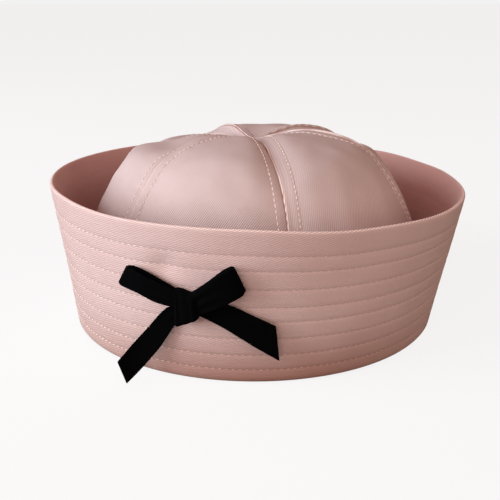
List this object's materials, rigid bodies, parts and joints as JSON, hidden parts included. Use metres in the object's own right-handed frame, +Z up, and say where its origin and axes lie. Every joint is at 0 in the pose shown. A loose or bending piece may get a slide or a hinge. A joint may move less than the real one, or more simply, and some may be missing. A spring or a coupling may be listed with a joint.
{
  "type": "sailor cap",
  "caption": "Round cloth cap with a puffed sewn crown inside a tall, flared, turned-up brim stitched in rows, and a small flat ribbon bow on the front left.",
  "frame": {"origin": "The middle of the cap's outline in plan, bow included, on the surface that the brim's folded lower edge rests on.", "axes": "+Z runs up through the crown. -Y points to the front, where the bow sits a little to the left. +X points to the right as seen from the front."},
  "size_m": [0.2134, 0.2196, 0.0965],
  "materials": {
    "twill_brim": "matte cotton twill",
    "twill_crown": "matte cotton twill",
    "velvet_ribbon": "velvet pile"
  },
  "bodies": {
    "root": {"brim": "twill_brim", "gore_1": "twill_crown", "gore_2": "twill_crown", "gore_3": "twill_crown", "gore_4": "twill_crown", "gore_5": "twill_crown", "gore_6": "twill_crown", "bow_knot": "velvet_ribbon", "bow_loop_left": "velvet_ribbon", "bow_loop_right": "velvet_ribbon", "bow_tail_left": "velvet_ribbon", "bow_tail_right": "velvet_ribbon"}
  },
  "joints": []
}
